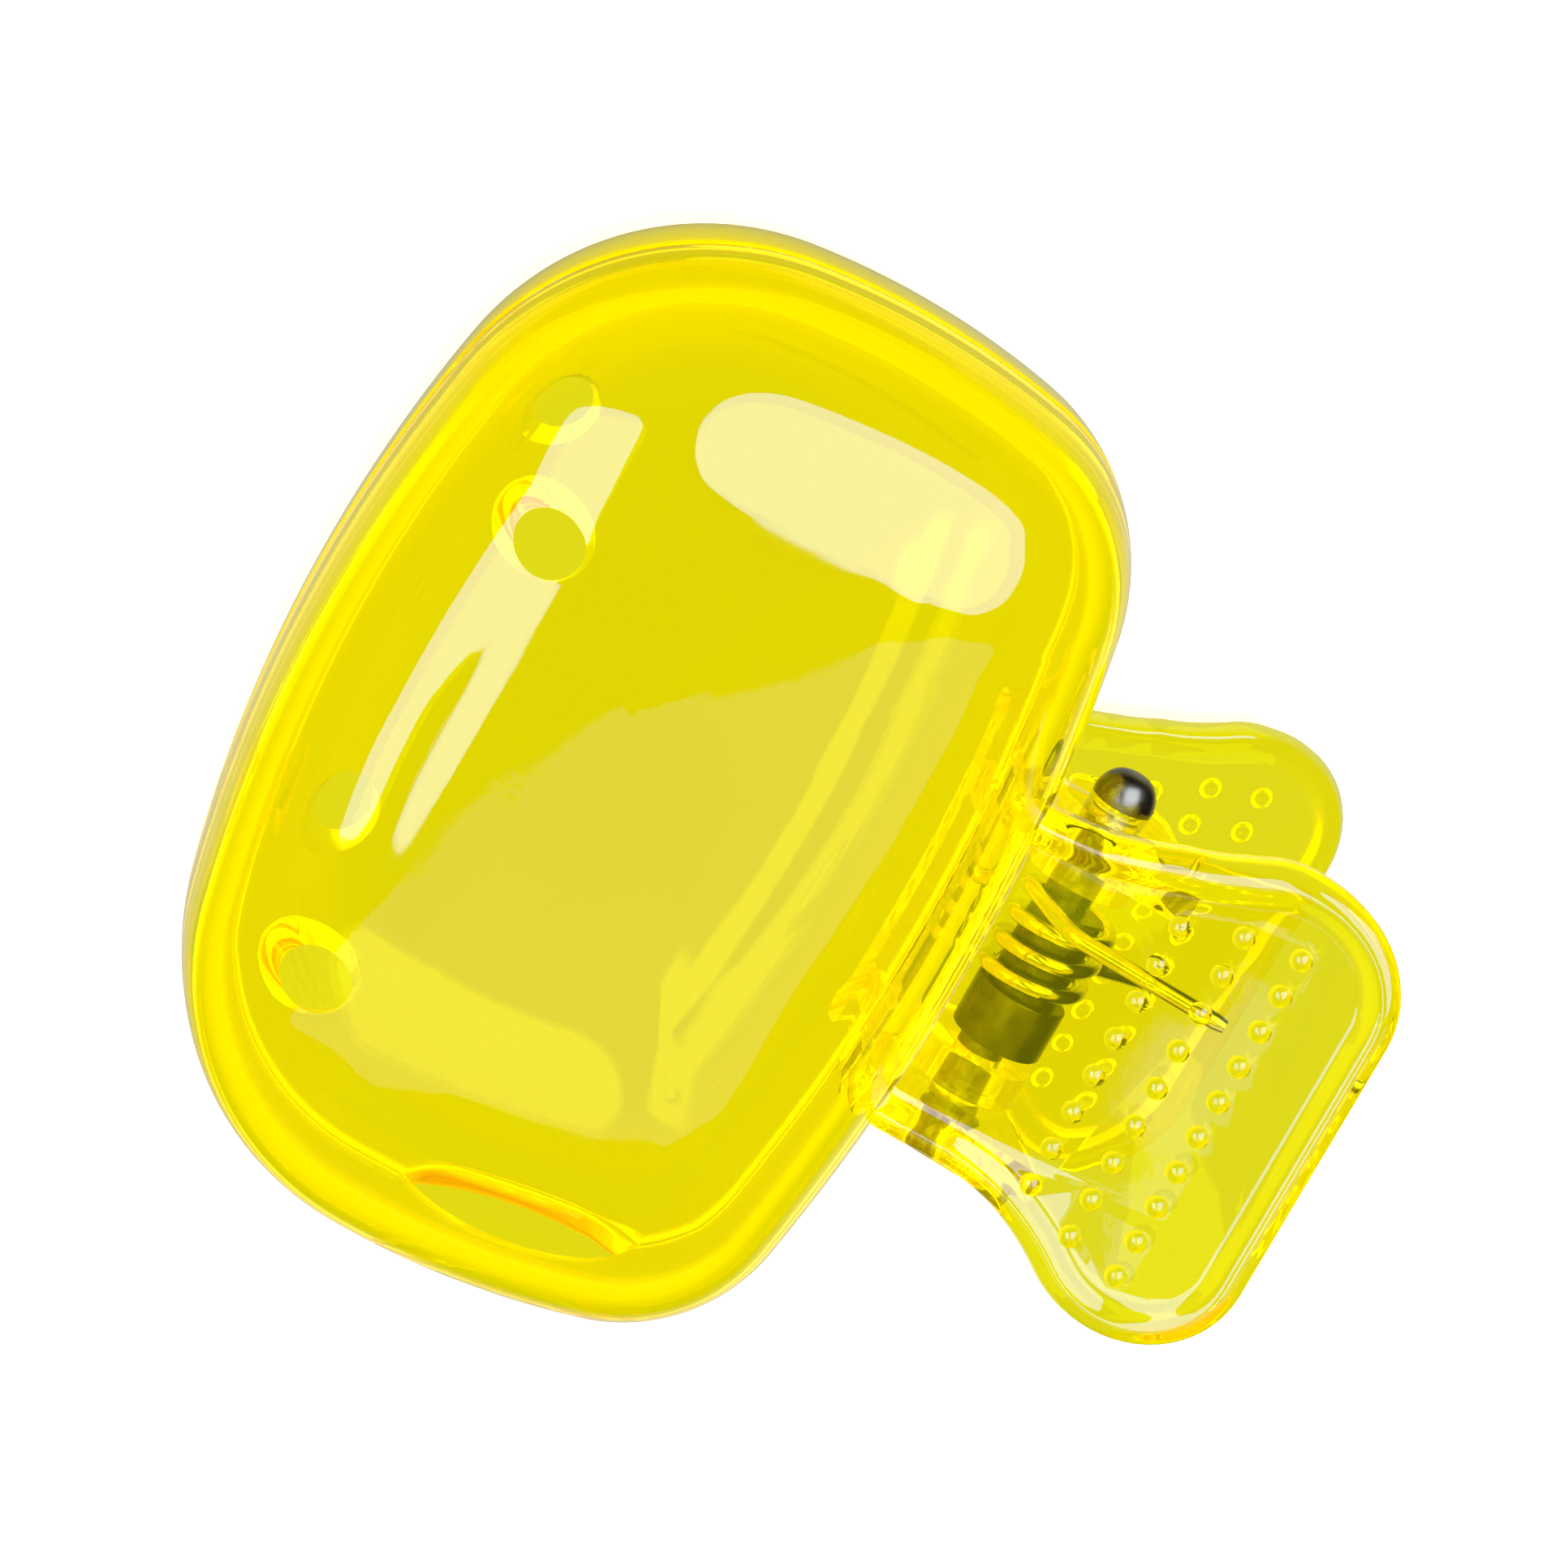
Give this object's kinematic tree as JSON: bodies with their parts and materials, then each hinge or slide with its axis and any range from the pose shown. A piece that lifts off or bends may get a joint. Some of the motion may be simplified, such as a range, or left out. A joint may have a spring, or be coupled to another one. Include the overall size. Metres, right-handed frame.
{
  "type": "toothbrush head case",
  "caption": "Pillow-shaped clear plastic clip case for a toothbrush head, with vents, neck notch, squeeze wings and a sprung hinge.",
  "frame": {"origin": "middle of the small flat on the back face, on which the shut case lies", "axes": "+X from the case to the finger wings, +Y along the hinge pin, +Z from the back face to the front face"},
  "size_m": [0.0443, 0.0432, 0.022],
  "materials": {
    "clear_yellow_plastic": "polished translucent moulded plastic",
    "dark_steel": "dark polished steel",
    "spring_wire": "drawn spring wire"
  },
  "bodies": {
    "rear": {"rear_shell": "clear_yellow_plastic", "torsion_spring": "spring_wire"},
    "front": {"front_shell": "clear_yellow_plastic", "hinge_pin": "dark_steel", "spring_sleeve": "dark_steel"}
  },
  "joints": [
    {"name": "hinge", "type": "hinge", "parent": "rear", "child": "front", "pos_m": [0.0177, 0, 0.011], "axis": [0, 1, 0], "range_deg": [0, 70], "stiffness_Nm_per_rad": 0.07, "springref_deg": -29.79, "deforming": ["torsion_spring"]}
  ]
}
